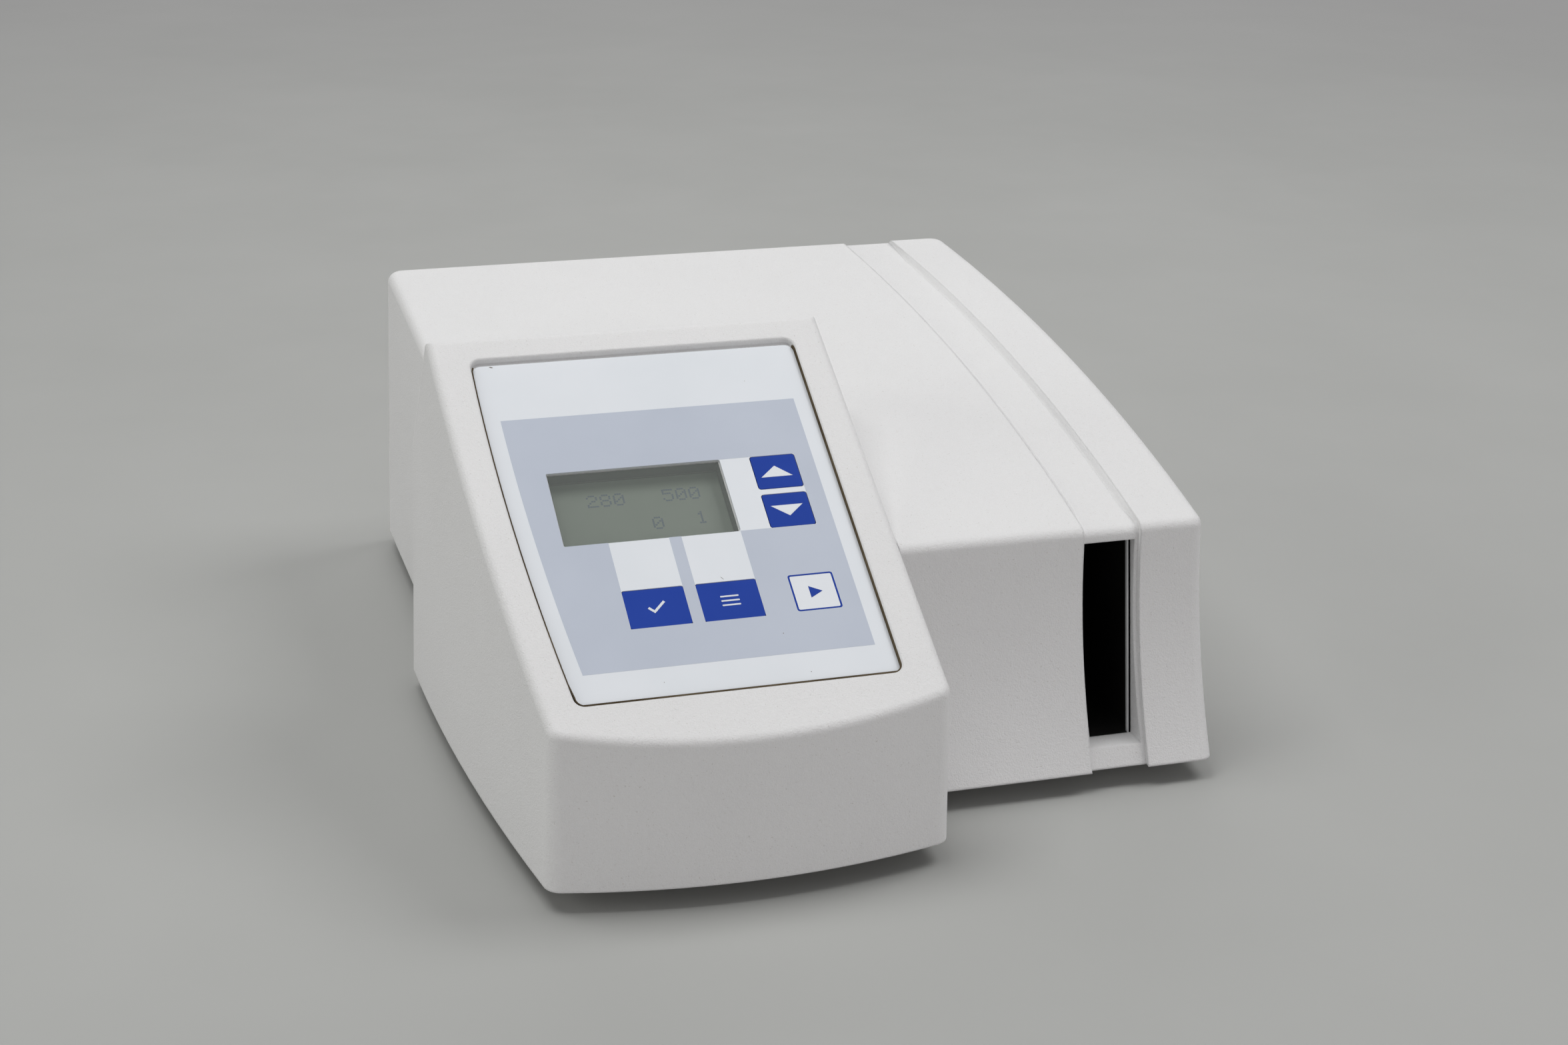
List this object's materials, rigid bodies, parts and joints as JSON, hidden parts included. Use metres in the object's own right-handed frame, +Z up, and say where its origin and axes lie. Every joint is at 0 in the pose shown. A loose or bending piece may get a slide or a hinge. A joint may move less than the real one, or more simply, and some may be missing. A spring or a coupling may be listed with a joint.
{
  "type": "electroporator",
  "caption": "Bench electroporator: low housing with a sloping display and key console at the front left and a tall insert chute at the right.",
  "frame": {"origin": "on the table under the middle of the footprint", "axes": "+X right, +Y to the rear, +Z up"},
  "size_m": [0.2524, 0.316, 0.1365],
  "materials": {
    "housing_paint": "fine-textured warm white",
    "frame_white": "smooth white",
    "label_white": "printed film, white with a grey-blue field",
    "clear_window": "clear, slightly green",
    "key_blue": "blue film",
    "key_white": "white film with a blue outline",
    "switch_black": "black",
    "board_green": "solder mask",
    "display_metal": "dull metal",
    "display_olive": "olive display",
    "pillar_brass": "plain brass",
    "chute_black": "black",
    "pin_gold": "plated",
    "plunger_white": "white",
    "plastic_black": "black",
    "plate_steel": "light grey",
    "foot_rubber": "black",
    "screw_steel": "plated",
    "port_steel": "plated",
    "core_steel": "laminated",
    "winding_tape": "amber tape",
    "capacitor_sleeve": "dark blue sleeve",
    "sink_aluminium": "satin",
    "lead_red": "red",
    "lead_black": "black",
    "ribbon_grey": "grey"
  },
  "bodies": {
    "housing": {"base_plate": "plate_steel", "base_screws": "screw_steel", "board_pillars": "pillar_brass", "capacitor_1": "capacitor_sleeve", "capacitor_2": "capacitor_sleeve", "capacitor_3": "capacitor_sleeve", "capacitor_4": "capacitor_sleeve", "chute_liner": "chute_black", "console_housing": "housing_paint", "contact_block": "chute_black", "control_board": "board_green", "control_standoffs": "pillar_brass", "controller_chip": "plastic_black", "display_frame": "display_metal", "display_glass": "display_olive", "display_window": "clear_window", "down_switch": "switch_black", "earth_stud": "pillar_brass", "front_label": "label_white", "guide_strip": "frame_white", "heat_sink": "sink_aluminium", "inlet_pins": "screw_steel", "insert_switch": "plastic_black", "key_board": "board_green", "lower_lead": "lead_black", "main_cover": "housing_paint", "mains_inlet": "plastic_black", "mode_switch": "switch_black", "pulse_board": "board_green", "pulse_relay": "plastic_black", "pulse_standoffs": "pillar_brass", "rear_panel": "plate_steel", "rear_panel_screws": "screw_steel", "ribbon_cable": "ribbon_grey", "rubber_foot_1": "foot_rubber", "rubber_foot_2": "foot_rubber", "rubber_foot_3": "foot_rubber", "rubber_foot_4": "foot_rubber", "serial_port": "port_steel", "set_switch": "switch_black", "start_switch": "switch_black", "switch_frame": "plastic_black", "transformer_core": "core_steel", "transformer_winding": "winding_tape", "up_switch": "switch_black", "upper_lead": "lead_red"},
    "set_key": {"set_key": "key_blue"},
    "mode_key": {"mode_key": "key_blue"},
    "start_key": {"start_key": "key_white"},
    "up_key": {"up_key": "key_blue"},
    "down_key": {"down_key": "key_blue"},
    "lower_pin": {"lower_pin": "pin_gold"},
    "upper_pin": {"upper_pin": "pin_gold"},
    "insert_plunger": {"insert_plunger": "plunger_white"},
    "fuse_drawer": {"fuse_drawer": "plastic_black"},
    "power_rocker": {"power_rocker": "plastic_black"}
  },
  "joints": [
    {"name": "set_key_press", "type": "slide", "parent": "housing", "child": "set_key", "axis": [0, 0.4879, -0.8729], "range_m": [0, 0.0004], "stiffness_N_per_m": 600},
    {"name": "mode_key_press", "type": "slide", "parent": "housing", "child": "mode_key", "axis": [0, 0.4879, -0.8729], "range_m": [0, 0.0004], "stiffness_N_per_m": 600},
    {"name": "start_key_press", "type": "slide", "parent": "housing", "child": "start_key", "axis": [0, 0.4879, -0.8729], "range_m": [0, 0.0004], "stiffness_N_per_m": 600},
    {"name": "up_key_press", "type": "slide", "parent": "housing", "child": "up_key", "axis": [0, 0.4879, -0.8729], "range_m": [0, 0.0004], "stiffness_N_per_m": 600},
    {"name": "down_key_press", "type": "slide", "parent": "housing", "child": "down_key", "axis": [0, 0.4879, -0.8729], "range_m": [0, 0.0004], "stiffness_N_per_m": 600},
    {"name": "lower_pin_slide", "type": "slide", "parent": "housing", "child": "lower_pin", "axis": [0, 1, 0], "range_m": [0, 0.0025], "stiffness_N_per_m": 400},
    {"name": "upper_pin_slide", "type": "slide", "parent": "housing", "child": "upper_pin", "axis": [0, 1, 0], "range_m": [0, 0.0025], "stiffness_N_per_m": 400},
    {"name": "insert_plunger_slide", "type": "slide", "parent": "housing", "child": "insert_plunger", "axis": [0, 1, 0], "range_m": [0, 0.0015], "stiffness_N_per_m": 300},
    {"name": "fuse_drawer_slide", "type": "slide", "parent": "housing", "child": "fuse_drawer", "axis": [0, 0.9997, 0.0262], "range_m": [0, 0.012]},
    {"name": "power_rocker_tilt", "type": "hinge", "parent": "housing", "child": "power_rocker", "pos_m": [0.01225, 0.14604, 0.0437], "axis": [-1, 0, 0], "range_deg": [0, 16]}
  ]
}
